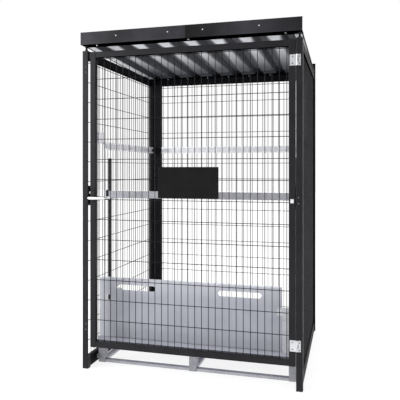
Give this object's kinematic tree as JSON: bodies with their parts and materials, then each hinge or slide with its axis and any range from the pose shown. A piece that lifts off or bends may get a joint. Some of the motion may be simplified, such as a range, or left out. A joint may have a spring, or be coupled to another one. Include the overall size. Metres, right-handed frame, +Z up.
{
  "type": "gas cylinder cage",
  "caption": "Tall mesh cage for upright gas cylinders: tube posts, welded wire walls, ribbed roof falling to the rear, hinged latching door, raised base, lift-out bar and front panel.",
  "frame": {"origin": "centre of the cage's plan on the floor, on the underside of the middle base runner", "axes": "+Z up; the door faces -Y; +X is to the right for someone facing the door"},
  "size_m": [1.63, 1.4883, 2.512],
  "materials": {
    "frame_black": "satin powder coat",
    "wire_black": "satin powder coat",
    "roof_dark": "satin coating, pale on the underside",
    "galvanised": "dull zinc",
    "panel_grey": "dull zinc",
    "bright_zinc": "bright zinc",
    "black_plastic": "fine grain",
    "sign_black": "matt"
  },
  "bodies": {
    "frame": {"post_front_left": "frame_black", "post_front_right": "frame_black", "post_rear_left": "frame_black", "post_rear_right": "frame_black", "side_top_rail_left": "frame_black", "side_top_rail_right": "frame_black", "side_bottom_rail_left": "frame_black", "side_bottom_rail_right": "frame_black", "rear_top_rail": "frame_black", "rear_bottom_rail": "frame_black", "rear_stiles": "frame_black", "roof_studs": "frame_black", "fascia_front_left": "frame_black", "fascia_front_right": "frame_black", "fascia_rear_left": "frame_black", "fascia_rear_right": "frame_black", "fascia_splices": "frame_black", "verge_trim_left": "frame_black", "verge_trim_right": "frame_black", "strike_plate": "frame_black", "rack_upright_left": "frame_black", "rack_upright_right": "frame_black", "bar_cradles": "frame_black", "mesh_left": "wire_black", "mesh_right": "wire_black", "mesh_rear": "wire_black", "post_feet": "black_plastic", "post_caps": "black_plastic", "roof_sheet_left": "roof_dark", "roof_sheet_right": "roof_dark", "strap_rail_left": "galvanised", "strap_rail_right": "galvanised", "strap_rail_rear": "galvanised", "base_deck": "galvanised", "base_legs": "galvanised", "base_runners_cross": "galvanised", "base_runners_deep": "galvanised", "base_lugs": "galvanised", "panel_sockets": "galvanised", "hinge_leaf_upper_post": "bright_zinc", "hinge_leaf_lower_post": "bright_zinc", "hinge_pins": "bright_zinc"},
    "door": {"door_stile_lock": "frame_black", "door_stile_hinge": "frame_black", "door_rail_top": "frame_black", "door_rail_bottom": "frame_black", "handle_plates": "frame_black", "door_mesh": "wire_black", "hinge_leaf_upper_door": "bright_zinc", "hinge_leaf_lower_door": "bright_zinc", "blanking_cover": "bright_zinc", "lock_case": "bright_zinc", "sign_plate": "sign_black"},
    "lever": {"lever_outer": "bright_zinc", "lever_inner": "bright_zinc", "lever_spindle": "bright_zinc"},
    "latch": {"latch_bolt": "bright_zinc"},
    "bar": {"retaining_bar": "galvanised"},
    "panel": {"front_panel": "panel_grey", "panel_hooks": "galvanised"}
  },
  "joints": [
    {"name": "door_swing", "type": "hinge", "parent": "frame", "child": "door", "pos_m": [0.7775, -0.732, 0], "axis": [0, 0, 1], "range_deg": [0, 170]},
    {"name": "lever_turn", "type": "hinge", "parent": "door", "child": "lever", "pos_m": [-0.7295, -0.7075, 1.279], "axis": [0, 1, 0], "range_deg": [0, 45], "stiffness_Nm_per_rad": 1.5, "springref_deg": -20.05},
    {"name": "latch_slide", "type": "slide", "parent": "door", "child": "latch", "axis": [1, 0, 0], "range_m": [0, 0.0142]},
    {"name": "bar_lift", "type": "slide", "parent": "frame", "child": "bar", "axis": [0, 0, 1], "range_m": [0, 0.1]},
    {"name": "panel_lift", "type": "slide", "parent": "frame", "child": "panel", "axis": [0, 0, 1], "range_m": [0, 0.1]}
  ],
  "couplings": [
    {"joint": "latch_slide", "follows": "lever_turn", "m_per_rad": 0.01785}
  ]
}
